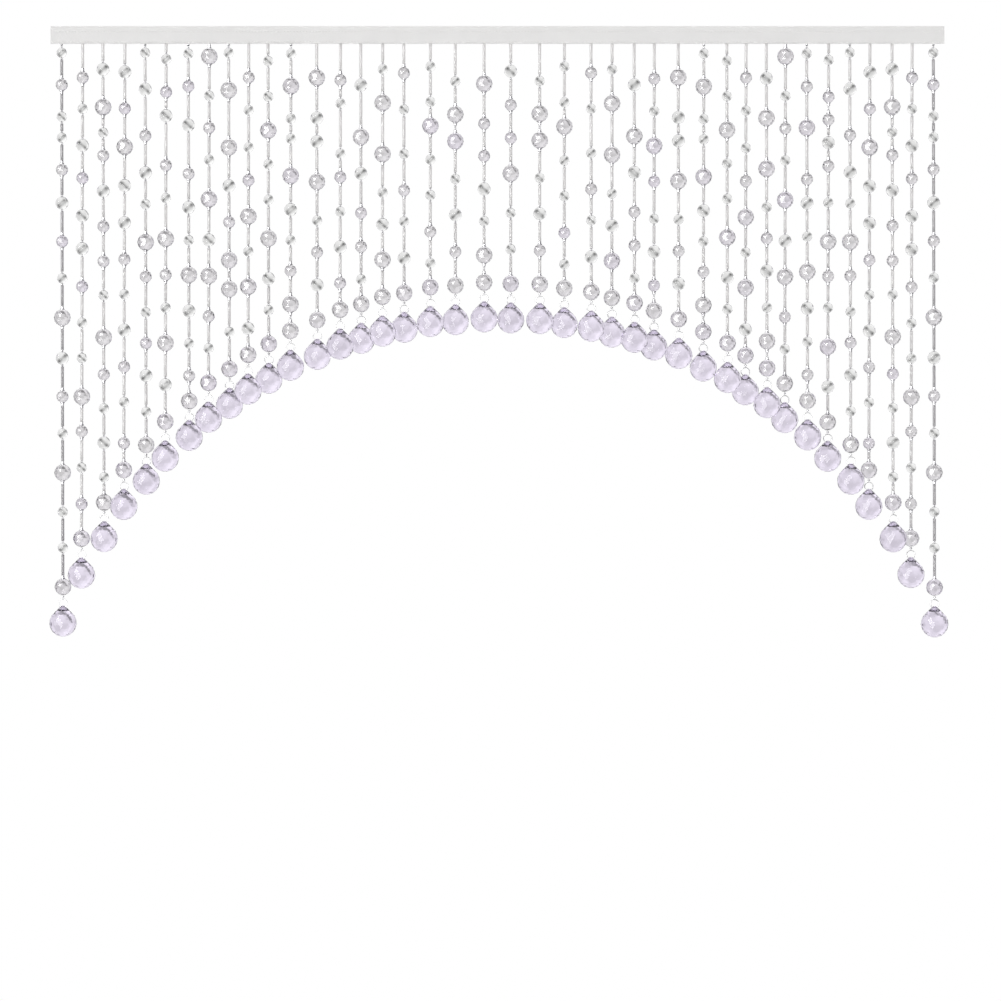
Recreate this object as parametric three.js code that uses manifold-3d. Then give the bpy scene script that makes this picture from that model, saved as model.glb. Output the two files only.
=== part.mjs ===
import * as THREE from 'three';
import * as BufferGeometryUtils from 'three/addons/utils/BufferGeometryUtils.js';
import Module from 'manifold-3d';

// Doorway bead curtain, in millimetres, +Z up, seen from the front along +Y with +X to the right.
// Forty strings of glass tubes and faceted beads hang from a woven heading tape. Each string ends
// in a drilled crystal ball, and the balls follow one arch. The origin is the middle of the tape's
// top edge, where the curtain is held.

const wasm = await Module();
wasm.setup();

// ---- Driving dimensions ----

const CLEARANCE = 0.3; // between solids that touch on the real curtain

const TAPE = { width: 974, height: 16, thickness: 2 };

// The tape's lower edge, parted from it in short strips that the strings grow from.
const STRIP_HEIGHT = 3;
const STRINGS_PER_STRIP = 5;

// Ball centres lie on an arch. Strings lean in turn to the front and to the back, because
// neighbouring balls are wider than the space between their strings.
const ARCH = { radius: 506, crownDrop: 319.3 };
const STAGGER = 10.5;

const BALL = { radius: 15, tipRise: 19, tipRadius: 2.2, sides: 8 };
const BALL_RINGS = [-54, -10, 20]; // latitudes of a ball's rings of corners, in degrees
const LAST_BEAD_RISE = 39.5; // from a ball's centre to the centre of the bead above it

const STRING_SIDES = 4;
const THREAD_RADIUS = 0.9;
const TUBE_RADIUS = 1.65;
const KNOT_DROP = 1; // bare thread under the strip, above the first tube

// Beads by their letter in the charts. band is half the height of the widest part.
const BEADS = {
  L: { radius: 9.25, band: 3.6 }, // large round
  M: { radius: 6.75, band: 2.6 }, // medium round
  T: { radius: 7.25, band: 0 }, // silvered, faceted
  S: { radius: 5.75, band: 0 }, // small silvered, faceted
};

// Lengths of tube by their mark in the charts. Each string scales its own tubes alike, so that its
// last bead sits above its ball.
const TUBES = { '=': 11.4, '-': 22.3, '+': 27.8, '~': 38.2 };

// Stringing charts, one row for each mirrored pair of strings, from the sides to the middle.
// across: from the curtain's middle. first: drop to the first bead's centre. beads: top to bottom.
const STRINGS = [
  { across: 475, first: 29, beads: 'S-M-S=S-M-T+M+S+L+T+M+S+L+S+S+L' },
  { across: 452, first: 56, beads: 'M-S+T-M+T-T+M+S+S+L-M+S+M-L' },
  { across: 430, first: 47, beads: 'T-L=S=M-T-M-M-S+L-M-S-T-S=L' },
  { across: 406, first: 50, beads: 'T-M-L-T-T-M-S-T-M-S+M=L' },
  { across: 384, first: 29, beads: 'S+T~M+T-S+L-M+S-M-T+S-L' },
  { across: 361, first: 36, beads: 'S-M=T~M-S+L-M-S-L+T-L' },
  { across: 337, first: 30, beads: 'S-M+T~M-T-S-L-T-S-M=L' },
  { across: 314, first: 33, beads: 'L+S-M-S+L+T-L+M-S-L' },
  { across: 293, first: 29, beads: 'S-L~L-T-M-L=L+S-L' },
  { across: 271, first: 56, beads: 'M-S+S-M-L-S-L+T=L' },
  { across: 250, first: 38, beads: 'S+S-L-S+S+L+T-S-L' },
  { across: 225, first: 30, beads: 'S-L-S=S+L-T-S-M-L=L' },
  { across: 197, first: 56, beads: 'L+T=T+L+S-M-T-L' },
  { across: 171, first: 59, beads: 'M=S~S=M-S-T-M=L' },
  { across: 149, first: 64, beads: 'T~L-T+M-M-S=L' },
  { across: 125, first: 47, beads: 'S-L~L+S-T-L-L' },
  { across: 102, first: 51, beads: 'M+S~S+M-S+T-L' },
  { across: 73, first: 44, beads: 'S+S=L-S+S+M-S=L' },
  { across: 46, first: 60, beads: 'S-L=L+S+T+M-L' },
  { across: 14.5, first: 63, beads: 'L+M-M-T-S-L=L' },
];

// Right-hand strings that differ from the left-hand string of their pair, by the pair's number.
const RIGHT_HAND = {
  6: { first: 37, beads: 'S+M=M=T=M+S+L-M-S+L+T-L' },
  7: { first: 30, beads: 'S-M+L~M=T-S-L-T-S-M=L' },
  9: { first: 57, beads: 'T+L~L+S-M-T+S-L=L' },
  14: { first: 57, beads: 'M-S-L-M+S-T-M=L' },
  20: { first: 49, beads: 'T-M-M-L+S+S-L' },
};

const FABRIC = new THREE.MeshStandardMaterial({ color: 0xf1eeee, roughness: 0.9, metalness: 0 });
const CLEAR_GLASS = new THREE.MeshStandardMaterial({ color: 0xdedee3, roughness: 0.12, metalness: 0 });
const LILAC_GLASS = new THREE.MeshStandardMaterial({ color: 0xdccff0, roughness: 0.08, metalness: 0 });

// ---- Heights that follow from them ----

const stripTop = -TAPE.height - CLEARANCE;
const stripBottom = stripTop - STRIP_HEIGHT;
const rootHeight = (stripTop + stripBottom) / 2;

function ballHeight(across) {
  return Math.sqrt(ARCH.radius ** 2 - across ** 2) - ARCH.radius - ARCH.crownDrop;
}

// ---- Solids ----

// Merges equal corners and drops the triangles that a lathe folds flat on its axis.
function closedMesh(geometry) {
  const bare = geometry.clone();
  bare.deleteAttribute('normal');
  bare.deleteAttribute('uv');
  const merged = BufferGeometryUtils.mergeVertices(bare, 1e-3);
  const index = merged.index.array;
  const kept = [];
  for (let i = 0; i < index.length; i += 3) {
    const [a, b, c] = [index[i], index[i + 1], index[i + 2]];
    if (a !== b && b !== c && c !== a) kept.push(a, b, c);
  }
  merged.setIndex(kept);
  return merged;
}

function toSolid(geometry) {
  const closed = closedMesh(geometry);
  return new wasm.Manifold(new wasm.Mesh({
    numProp: 3,
    vertProperties: new Float32Array(closed.attributes.position.array),
    triVerts: new Uint32Array(closed.index.array),
  }));
}

function toGeometry(solid) {
  const mesh = solid.getMesh();
  const geometry = new THREE.BufferGeometry();
  geometry.setAttribute('position', new THREE.BufferAttribute(mesh.vertProperties, mesh.numProp));
  geometry.setIndex(new THREE.BufferAttribute(mesh.triVerts, 1));
  geometry.computeVertexNormals();
  return geometry;
}

// A turned solid on the Z axis. profile runs from its lowest point to its highest.
function turned(profile, sides) {
  const points = profile.map(([radius, height]) => new THREE.Vector2(radius, height));
  return new THREE.LatheGeometry(points, sides).rotateX(Math.PI / 2);
}

function boxBetween(low, high) {
  const size = high.map((value, axis) => value - low[axis]);
  const middle = high.map((value, axis) => (value + low[axis]) / 2);
  return new THREE.BoxGeometry(...size).translate(...middle);
}

// ---- Strings ----

// The bead letters of a chart with their heights, from the last bead up to the first.
function threadBeads(chart, lastHeight) {
  const letters = [...chart.beads].filter((mark) => mark in BEADS);
  const marks = [...chart.beads].filter((mark) => mark in TUBES);
  const joins = marks.map((mark, i) => BEADS[letters[i]].radius + BEADS[letters[i + 1]].radius);
  const sum = (lengths) => lengths.reduce((total, length) => total + length, 0);
  const span = -chart.first - lastHeight;
  const share = (span - sum(joins)) / sum(marks.map((mark) => TUBES[mark]));

  let height = -chart.first;
  const threaded = [{ letter: letters[0], height }];
  marks.forEach((mark, i) => {
    height -= joins[i] + share * TUBES[mark];
    threaded.push({ letter: letters[i + 1], height });
  });
  return threaded.reverse();
}

function beadProfile({ letter, height }) {
  const { radius, band } = BEADS[letter];
  const widest = band > 0 ? [[radius, height - band], [radius, height + band]] : [[radius, height]];
  return [[TUBE_RADIUS, height - radius], ...widest, [TUBE_RADIUS, height + radius]];
}

// One string, from its root in the strip to just above its ball's tip, leaning to its rank.
function stringSolid(string) {
  const tip = string.ball + BALL.tipRise + CLEARANCE;
  const beads = threadBeads(string.chart, string.ball + LAST_BEAD_RISE);
  const profile = [
    [0, tip],
    [THREAD_RADIUS, tip],
    ...beads.flatMap(beadProfile),
    [TUBE_RADIUS, stripBottom - KNOT_DROP],
    [THREAD_RADIUS, stripBottom - KNOT_DROP],
    [THREAD_RADIUS, rootHeight],
    [0, rootHeight],
  ];
  const lean = -string.depth / (rootHeight - tip);
  const leaning = new THREE.Matrix4().makeShear(0, 0, 0, 0, 0, lean);
  return toSolid(
    turned(profile, STRING_SIDES)
      .translate(0, 0, -rootHeight)
      .applyMatrix4(leaning)
      .translate(string.across, 0, rootHeight),
  );
}

// All strings from left to right, each with its chart, its ball's height and its rank's depth.
function layOutStrings() {
  const left = STRINGS.map((row) => ({ across: -row.across, chart: row }));
  const right = STRINGS.map((row, i) => ({ across: row.across, chart: RIGHT_HAND[i + 1] ?? row }));
  return [...left, ...right.reverse()].map((string, i) => ({
    ...string,
    ball: ballHeight(string.across),
    depth: i % 2 === 0 ? STAGGER : -STAGGER,
  }));
}

// ---- Nodes ----

const curtain = new THREE.Group();

function addNode(name, geometry, material, place = [0, 0, 0]) {
  const mesh = new THREE.Mesh(geometry, material);
  mesh.name = name;
  mesh.position.set(...place);
  curtain.add(mesh);
}

function addTape() {
  const low = [-TAPE.width / 2, -TAPE.thickness / 2, -TAPE.height];
  const high = [TAPE.width / 2, TAPE.thickness / 2, 0];
  addNode('heading_tape', boxBetween(low, high), FABRIC);
}

// A strip's end: midway to the next string, or the tape's own end.
function stripEnd(strings, i, side) {
  const next = strings[i + side];
  if (!next) return side * TAPE.width / 2;
  return (strings[i].across + next.across) / 2 - side * CLEARANCE / 2;
}

function addStrings(strings) {
  for (let start = 0; start < strings.length; start += STRINGS_PER_STRIP) {
    const end = start + STRINGS_PER_STRIP - 1;
    const low = [stripEnd(strings, start, -1), -TAPE.thickness / 2, stripBottom];
    const high = [stripEnd(strings, end, 1), TAPE.thickness / 2, stripTop];
    let solid = toSolid(boxBetween(low, high));
    for (const string of strings.slice(start, end + 1)) solid = solid.add(stringSolid(string));
    addNode(`strings_${1 + start / STRINGS_PER_STRIP}`, toGeometry(solid), CLEAR_GLASS);
  }
}

// A ball whose shoulders run straight from where they touch its sphere up to the drilled tip.
function ballGeometry() {
  const { radius, tipRise, tipRadius, sides } = BALL;
  const shoulder = 90 - THREE.MathUtils.radToDeg(Math.acos(radius / tipRise));
  const rings = [...BALL_RINGS, shoulder].map((latitude) => {
    const angle = THREE.MathUtils.degToRad(latitude);
    return [radius * Math.cos(angle), radius * Math.sin(angle)];
  });
  const profile = [[0, -radius], ...rings, [tipRadius, tipRise], [0, tipRise]];
  return closedMesh(turned(profile, sides));
}

function addBalls(strings) {
  const geometry = ballGeometry();
  strings.forEach((string, i) => {
    const name = `ball_${String(i + 1).padStart(2, '0')}`;
    addNode(name, geometry, LILAC_GLASS, [string.across, string.depth, string.ball]);
  });
}

const strings = layOutStrings();
addTape();
addStrings(strings);
addBalls(strings);

export default curtain;
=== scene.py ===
"""Looks of an arched doorway bead curtain: woven heading tape, strings of glass tubes and cut
beads, wire rings and lilac crystal balls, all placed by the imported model."""

import math
import random

import bmesh
import bpy
import numpy as np
from mathutils import Matrix, Vector


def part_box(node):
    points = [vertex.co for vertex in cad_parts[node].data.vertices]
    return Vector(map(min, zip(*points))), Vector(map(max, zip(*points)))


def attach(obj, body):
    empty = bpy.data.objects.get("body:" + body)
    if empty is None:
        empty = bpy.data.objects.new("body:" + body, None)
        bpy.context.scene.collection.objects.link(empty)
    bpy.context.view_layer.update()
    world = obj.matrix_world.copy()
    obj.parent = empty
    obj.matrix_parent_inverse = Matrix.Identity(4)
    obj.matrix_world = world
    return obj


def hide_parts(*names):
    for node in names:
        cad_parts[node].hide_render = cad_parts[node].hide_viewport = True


bl_info = {
    "name": "Arched bead curtain",
    "version": (1, 0, 0),
    "blender": (4, 5, 0),
    "location": "View3D > Sidebar > Bead curtain",
    "description": "Dresses the arched bead curtain with its glass, wire and tape",
    "category": "Object",
}

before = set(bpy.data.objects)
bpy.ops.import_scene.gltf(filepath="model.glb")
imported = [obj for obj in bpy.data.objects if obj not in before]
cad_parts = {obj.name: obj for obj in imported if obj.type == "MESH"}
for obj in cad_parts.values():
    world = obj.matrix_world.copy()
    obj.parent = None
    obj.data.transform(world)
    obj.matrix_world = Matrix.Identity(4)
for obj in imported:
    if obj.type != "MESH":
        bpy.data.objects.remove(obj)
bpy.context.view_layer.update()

MM = 0.001
BODY = "root"
SEED = 41

PANELS = sorted(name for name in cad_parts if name.startswith("strings_"))
BALLS = sorted(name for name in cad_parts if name.startswith("ball_"))
BALLS_PER_PANEL = len(BALLS) // len(PANELS)

TAPE_LOW, TAPE_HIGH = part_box("heading_tape")
PANEL_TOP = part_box(PANELS[0])[1].z
TAPE_THICKNESS = TAPE_HIGH.y - TAPE_LOW.y
TAPE_LENGTH = TAPE_HIGH.x - TAPE_LOW.x
STRIP_HEIGHT = 3 * MM  # of the solids' strips, which are part of the tape here
TAPE_FOOT = PANEL_TOP - STRIP_HEIGHT  # where the strings come out

# The solids' beads are known by their widest radius. rings: how many rings of corners each has.
BEAD_KINDS = {
    "large": {"radius": 9.25 * MM, "rings": 2},
    "medium": {"radius": 6.75 * MM, "rings": 2},
    "silvered": {"radius": 7.25 * MM, "rings": 1},
    "small": {"radius": 5.75 * MM, "rings": 1},
}
BEAD_POINT = "bead_point"  # a small piece's own point, in the mesh that it is joined in
BEAD_TINT = "bead_tint"  # a number from 0 to 1 for each small piece
SAME_RADIUS = 0.05 * MM
SAME_HEIGHT = 0.2 * MM


# ---- Reading the frame ----


def corners(node):
    """The corners of a node's solid as an array, in metres."""
    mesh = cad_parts[node].data
    flat = np.empty(3 * len(mesh.vertices))
    mesh.vertices.foreach_get("co", flat)
    return flat.reshape(-1, 3)


def apart(values, step):
    """values sorted, with those that lie within step of the one before left out."""
    found = []
    for value in sorted(values):
        if not found or value - found[-1] > step:
            found.append(value)
    return found


class Hanger:
    """One string: its ball's place, its leaning axis and its beads from the top down."""

    def __init__(self, ball, panel):
        low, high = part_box(ball)
        self.ball = ball
        self.across = (low.x + high.x) / 2
        self.depth = (low.y + high.y) / 2
        self.tip = high.z
        self.root = PANEL_TOP - STRIP_HEIGHT / 2
        self.beads = self.read_beads(corners(panel))

    def at(self, height):
        """The point of the string's axis at a height."""
        share = (self.root - height) / (self.root - self.tip)
        return Vector((self.across, self.depth * share, height))

    def tilt(self):
        """The turn that lays the Z axis along the string."""
        lean = math.atan2(self.depth, self.root - self.tip)
        return Matrix.Rotation(lean, 4, "X")

    def read_beads(self, points):
        """(height, kind) of each bead, known by how far its corners lie from the axis."""
        axis_y = self.depth * (self.root - points[:, 2]) / (self.root - self.tip)
        radius = np.hypot(points[:, 0] - self.across, points[:, 1] - axis_y)
        beads = []
        for kind, size in BEAD_KINDS.items():
            level = points[np.abs(radius - size["radius"]) < SAME_RADIUS, 2]
            heights = apart(level, SAME_HEIGHT)
            rings = size["rings"]
            for i in range(0, len(heights) - rings + 1, rings):
                beads.append((sum(heights[i : i + rings]) / rings, kind))
        return sorted(beads, reverse=True)


def read_hangers():
    hangers = []
    for i, ball in enumerate(BALLS):
        hangers.append(Hanger(ball, PANELS[i // BALLS_PER_PANEL]))
    return hangers


HANGERS = read_hangers()


# ---- Sizes and colours a user would change ----


def length(name, description, default):
    """A size, given here in millimetres."""
    values = {"default": default * MM, "min": 0.0, "precision": 5}
    values |= {"subtype": "DISTANCE", "unit": "LENGTH"}
    return bpy.props.FloatProperty(name=name, description=description, **values)


def colour(name, description, default):
    values = {"default": default, "min": 0.0, "max": 1.0, "size": 3, "subtype": "COLOR"}
    return bpy.props.FloatVectorProperty(name=name, description=description, **values)


def power(name, description, default):
    """A light's power, in watts."""
    values = {"default": default, "min": 0.0, "unit": "POWER"}
    return bpy.props.FloatProperty(name=name, description=description, **values)


class CurtainSizes(bpy.types.PropertyGroup):
    """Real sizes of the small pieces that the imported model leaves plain"""

    bore_radius: length("Bore radius", "Hole through each bead", 0.45)
    line_radius: length("Line radius", "Clear line that carries the beads", 0.3)
    tube_radius: length("Tube radius", "Glass tubes between the beads", 1.65)
    seed_radius: length("Seed radius", "Spacer beads at the tubes' ends", 1.35)
    seed_height: length("Seed height", "Height of a spacer bead", 1.7)
    cap_length: length("Cap length", "Silver caps over and under the round beads", 3.4)
    cap_radius: length("Cap radius", "Wide end of a cap", 2.4)
    ring_radius: length("Ring radius", "Middle of the wire of the rings that carry the balls", 4.6)
    wire_radius: length("Wire radius", "Wire of the rings", 0.45)
    tip_radius: length("Tip radius", "Flat tip of a ball", 1.4)
    stitch_length: length("Stitch length", "Stitches along the tape", 2.6)
    stitch_gap: length("Stitch gap", "Space between two stitches", 0.9)


class CurtainColours(bpy.types.PropertyGroup):
    """Colours of the curtain's finishes"""

    clear: colour("Clear glass", "Round clear beads", (0.77, 0.758, 0.768))
    tinted: colour("Tinted glass", "Round beads that lean to lilac", (0.765, 0.73, 0.795))
    lilac: colour("Lilac crystal", "Cut crystal balls", (0.905, 0.845, 0.98))
    silvered: colour("Silvered glass", "Clear part of the silvered beads", (0.98, 0.98, 0.975))
    # band: a painted dark reflection, laid on the cut beads as a slanting band where their facets would
    # mirror dark surroundings
    band: colour("Painted dark reflection", "Band through the cut beads", (0.03, 0.03, 0.03))
    tube: colour("Tube glass", "Tubes between the beads", (0.87, 0.858, 0.85))
    end_tube: colour("End tube glass", "Darker tubes of the two end strings", (0.5, 0.49, 0.5))
    cap: colour("Cap silver", "Caps and crimps", (0.52, 0.52, 0.525))
    ring: colour("Ring wire", "Wire rings", (0.42, 0.42, 0.42))
    tape: colour("Tape", "Woven heading tape", (0.74, 0.735, 0.73))
    floor: colour("Floor", "Floor under the curtain", (0.9, 0.9, 0.9))


class CurtainStage(bpy.types.PropertyGroup):
    """Camera distance, floor and light"""

    picture_width: length("Picture width", "Width of the plane of the curtain in view", 1091)
    middle_x: length("View middle", "View's middle to the right of the curtain's", 3.3)
    middle_drop: length("View drop", "View's middle below the tape's top edge", 517)
    distance: length("Camera distance", "Camera to the curtain", 3400)
    floor_drop: length("Floor drop", "Floor below the tape's top edge", 2030)
    key: power("Key light", "Power of the soft light over the camera's left", 6.0)


# ---- Shader groups ----


def plug(tree, value, socket):
    """Feeds a socket with a plain value or with another socket."""
    if isinstance(value, bpy.types.NodeSocket):
        tree.links.new(value, socket)
    else:
        socket.default_value = value


def fill(tree, node, **values):
    """Feeds a node's sockets, each named with _ for a space, and gives the node back."""
    for title, value in values.items():
        plug(tree, value, node.inputs[title.replace("_", " ")])
    return node


def new_group(name, inputs, outputs):
    """An empty shader group, what it is given and what it gives out. inputs: name to default."""
    group = bpy.data.node_groups.new(name, "ShaderNodeTree")
    for title, default in inputs.items():
        socket = group.interface.new_socket(title, in_out="INPUT", socket_type="NodeSocketFloat")
        socket.default_value = default
    for title, kind in outputs.items():
        group.interface.new_socket(title, in_out="OUTPUT", socket_type=kind)
    start = group.nodes.new("NodeGroupInput")
    end = group.nodes.new("NodeGroupOutput")
    return group, start.outputs, end.inputs


def made_once(build):
    """A function that gives the shader group that build makes, under build's name."""
    name = build.__name__.replace("_", " ")

    def group():
        return bpy.data.node_groups.get(name) or build(name)

    return group


def maths(tree, operation, *values, clamp=False):
    """A Math node's result. values: sockets or numbers."""
    node = tree.nodes.new("ShaderNodeMath")
    node.operation = operation
    node.use_clamp = clamp
    for socket, value in zip(node.inputs, values):
        plug(tree, value, socket)
    return node.outputs["Value"]


def vectors(tree, operation, first, second=None, scale=None):
    """A Vector Math node's result. Each value is a socket or a plain value."""
    node = tree.nodes.new("ShaderNodeVectorMath")
    node.operation = operation
    plug(tree, first, node.inputs[0])
    if second is not None:
        plug(tree, second, node.inputs[1])
    if scale is not None:
        plug(tree, scale, node.inputs["Scale"])
    return node.outputs["Value" if operation == "DOT_PRODUCT" else "Vector"]


def spread(tree, value, given, wanted):
    """value moved from one range to another. Each range is a pair of numbers or sockets."""
    node = tree.nodes.new("ShaderNodeMapRange")
    low, high = wanted
    fill(tree, node, Value=value, From_Min=given[0], From_Max=given[1], To_Min=low, To_Max=high)
    return node.outputs["Result"]


def noise(tree, point, scale, detail=2.0):
    """Clouds from 0 to 1."""
    node = tree.nodes.new("ShaderNodeTexNoise")
    return fill(tree, node, Vector=point, Scale=scale, Detail=detail).outputs["Fac"]


def object_point(tree):
    return tree.nodes.new("ShaderNodeTexCoord").outputs["Object"]


def attribute(tree, name):
    node = tree.nodes.new("ShaderNodeAttribute")
    node.attribute_name = name
    return node.outputs


def axes(tree, point):
    """X, Y and Z of a point."""
    node = tree.nodes.new("ShaderNodeSeparateXYZ")
    return fill(tree, node, Vector=point).outputs


def bumped(tree, height, strength, distance):
    """The normal of a surface with a height over it."""
    node = tree.nodes.new("ShaderNodeBump")
    return fill(tree, node, Height=height, Strength=strength, Distance=distance).outputs["Normal"]


@made_once
def polished_ripple(name):
    """Faint unevenness of drawn and polished glass, as a normal."""
    inputs = {"Scale": 300.0, "Strength": 0.1, "Distance": 0.2 * MM}
    group, given, out = new_group(name, inputs, {"Normal": "NodeSocketVector"})
    waves = noise(group, object_point(group), given["Scale"])
    plug(group, bumped(group, waves, given["Strength"], given["Distance"]), out["Normal"])
    return group


HAZE_CLOUDS = (0.35, 0.7)  # thinnest and thickest


@made_once
def handling_haze(name):
    """Patches of handling haze and dust, as a mask from Low to High."""
    inputs = {"Scale": 90.0, "Low": 0.0, "High": 1.0}
    group, given, out = new_group(name, inputs, {"Mask": "NodeSocketFloat"})
    clouds = noise(group, object_point(group), given["Scale"], detail=4.0)
    plug(group, spread(group, clouds, HAZE_CLOUDS, (given["Low"], given["High"])), out["Mask"])
    return group


LEAN_POWER = 4.0  # the higher, the fewer pieces lean far
LEAN_CLOUDS = 160.0  # clouds per metre within a piece


@made_once
def piece_by_piece_colour(name):
    """How far a piece leans to its second colour: most by its own tint number, and a little
    from place to place in it, by Drift."""
    group, given, out = new_group(name, {"Drift": 0.25}, {"Mask": "NodeSocketFloat"})
    few = maths(group, "POWER", attribute(group, BEAD_TINT)["Fac"], LEAN_POWER)
    local = maths(group, "MULTIPLY", noise(group, object_point(group), LEAN_CLOUDS), given["Drift"])
    plug(group, maths(group, "ADD", few, local, clamp=True), out["Mask"])
    return group


BAND_RIM_DEPTH = 1.2  # of the band, were it not cut off at 1
BAND_FADE = (-4.0, 3.5)  # slope and start: full out to 0.63 of the radius and gone by 0.88


@made_once
def slanting_band(name):
    """A slanting band through a bead's middle, with soft edges, as a mask of where a dark reflection is
    painted. It widens and darkens to its two ends, and fades out before the rim. The bead's own point, in
    radii, comes from the mesh."""
    inputs = {"Tilt": 0.7, "Half width": 0.3, "Flare": 0.0, "Softness": 0.3, "Middle": 0.6}
    group, given, out = new_group(name, inputs, {"Mask": "NodeSocketFloat"})
    x, _, z = axes(group, attribute(group, BEAD_POINT)["Vector"])
    sine, cosine = maths(group, "SINE", given["Tilt"]), maths(group, "COSINE", given["Tilt"])
    along = maths(group, "ADD", maths(group, "MULTIPLY", x, cosine), maths(group, "MULTIPLY", z, sine))
    off = maths(group, "SUBTRACT", maths(group, "MULTIPLY", x, sine), maths(group, "MULTIPLY", z, cosine))
    ends = maths(group, "ABSOLUTE", along)
    half = maths(group, "MULTIPLY_ADD", ends, given["Flare"], given["Half width"])
    inside = maths(group, "SUBTRACT", half, maths(group, "ABSOLUTE", off))
    edge = maths(group, "DIVIDE", inside, given["Softness"], clamp=True)
    rise = maths(group, "SUBTRACT", BAND_RIM_DEPTH, given["Middle"])
    depth = maths(group, "MULTIPLY_ADD", ends, rise, given["Middle"], clamp=True)
    fade = maths(group, "MULTIPLY_ADD", ends, *BAND_FADE, clamp=True)
    plug(group, maths(group, "MULTIPLY", maths(group, "MULTIPLY", edge, depth), fade), out["Mask"])
    return group


WEAVE_GAP = 0.35  # where the yarns' crests are lower than this, a gap shows


@made_once
def fine_tape_weave(name):
    """Plain weave of fine yarns across X and Z: a height and a mask of the gaps."""
    outputs = {"Height": "NodeSocketFloat", "Gaps": "NodeSocketFloat"}
    group, given, out = new_group(name, {"Yarns per metre": 1500.0}, outputs)
    x, _, z = axes(group, object_point(group))
    pitch = maths(group, "MULTIPLY", given["Yarns per metre"], math.pi)
    across = maths(group, "SINE", maths(group, "MULTIPLY", x, pitch))
    along = maths(group, "SINE", maths(group, "MULTIPLY", z, pitch))
    over = maths(group, "MULTIPLY", across, along)
    crest = maths(group, "ADD", maths(group, "ABSOLUTE", across), maths(group, "ABSOLUTE", along))
    plug(group, maths(group, "MULTIPLY_ADD", over, 0.5, 0.5), out["Height"])
    plug(group, maths(group, "LESS_THAN", crest, WEAVE_GAP), out["Gaps"])
    return group


# ---- Materials ----


def place_group(tree, group, **values):
    """A shader group in a material, as what it gives out."""
    node = tree.nodes.new("ShaderNodeGroup")
    node.node_tree = group
    return fill(tree, node, **values).outputs


def mixed(tree, mask, first, second):
    """A colour that goes from first to second with mask. Each is a socket or a plain colour."""
    node = tree.nodes.new("ShaderNodeMix")
    node.data_type = "RGBA"
    for title, shade in (("A", first), ("B", second)):
        socket = node.inputs[title]
        plug(tree, shade if isinstance(shade, bpy.types.NodeSocket) else (*shade, 1.0), socket)
    return fill(tree, node, Factor=mask).outputs["Result"]


def new_material(name, **values):
    """A material, its node tree and its shader, with plain values on the shader's own sockets."""
    material = bpy.data.materials.new(name)
    material.use_nodes = True
    tree = material.node_tree
    return material, tree, fill(tree, tree.nodes["Principled BSDF"], **values)


def darker(shade, share):
    return tuple(share * value for value in shade)


GLASS_HAZE = 0.025  # roughness that handling adds to polished glass
GLASS_RIPPLE = 0.03  # strength of the ripples in its bump


def polished_glass(name, ior, roughness=0.0):
    """Polished clear glass with faint ripples and haze, still without its colour."""
    material, tree, shader = new_material(name, IOR=ior, Transmission_Weight=1.0)
    haze = place_group(tree, handling_haze(), Low=roughness, High=roughness + GLASS_HAZE)
    waves = place_group(tree, polished_ripple(), Strength=GLASS_RIPPLE)
    fill(tree, shader, Roughness=haze["Mask"], Normal=waves["Normal"])
    return material, tree, shader


def cut_glass(name, shade, other=None, ior=1.55, roughness=0.0):
    """Polished glass with a faint drift of colour. Some pieces lean from shade to the other."""
    material, tree, shader = polished_glass(name, ior, roughness)
    lean = place_group(tree, piece_by_piece_colour())
    fill(tree, shader, Base_Color=mixed(tree, lean["Mask"], shade, other or darker(shade, 0.9)))
    return material


BAND_TILT = math.radians(42)  # of the band of painted dark reflection across a cut bead, from level
BAND_HALF_WIDTH = 0.22  # of a bead's radius
BAND_FLARE = 0.24  # by which the half width grows from the middle to the rim
BAND_SOFTNESS = 0.36  # width of its soft edge
BAND_MIDDLE = 0.62  # depth of the band at the bead's middle
BANDED_IOR = 1.13  # low, so that the glass beside the band stays pale to its rim


def banded_glass(name, clear, painted_reflection):
    """Polished glass with a dark reflection painted in as a slanting band through each bead."""
    material, tree, shader = polished_glass(name, BANDED_IOR)
    values = {"Tilt": BAND_TILT, "Half_width": BAND_HALF_WIDTH, "Flare": BAND_FLARE}
    values |= {"Softness": BAND_SOFTNESS, "Middle": BAND_MIDDLE}
    band = place_group(tree, slanting_band(), **values)
    # the band's colour is painted reflection: the dark that the facets would mirror
    fill(tree, shader, Base_Color=mixed(tree, band["Mask"], clear, painted_reflection))
    return material


def ground_glass(name, shade, clarity=0.35):
    """The dull wall of a drilled hole. clarity: the share of light that it lets through."""
    material, tree, shader = new_material(name, IOR=1.3, Transmission_Weight=clarity)
    grit = place_group(tree, handling_haze(), Scale=2500.0, Low=0.25, High=0.5)["Mask"]
    fill(tree, shader, Base_Color=mixed(tree, grit, darker(shade, 0.92), shade), Roughness=grit)
    return material


def polished_metal(name, shade, low, high):
    """Plated metal, rougher where it has been handled. low and high: its least and most roughness."""
    material, tree, shader = new_material(name, Metallic=1.0)
    wear = place_group(tree, handling_haze(), Scale=600.0, Low=low, High=high)["Mask"]
    tarnish = place_group(tree, handling_haze(), Scale=250.0)["Mask"]
    fill(tree, shader, Base_Color=mixed(tree, tarnish, shade, darker(shade, 0.86)), Roughness=wear)
    return material


def tube_glass(name, shade):
    """Drawn glass: a little grey and hazy, with ripples along it."""
    material, tree, shader = new_material(name, IOR=1.5, Transmission_Weight=0.4)
    haze = place_group(tree, handling_haze(), Scale=200.0, Low=0.36, High=0.44)["Mask"]
    streaks = place_group(tree, handling_haze(), Scale=120.0)["Mask"]
    waves = place_group(tree, polished_ripple(), Scale=300.0, Strength=0.01)["Normal"]
    colour_of = mixed(tree, streaks, shade, darker(shade, 0.96))
    fill(tree, shader, Base_Color=colour_of, Roughness=haze, Normal=waves)
    return material


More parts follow.
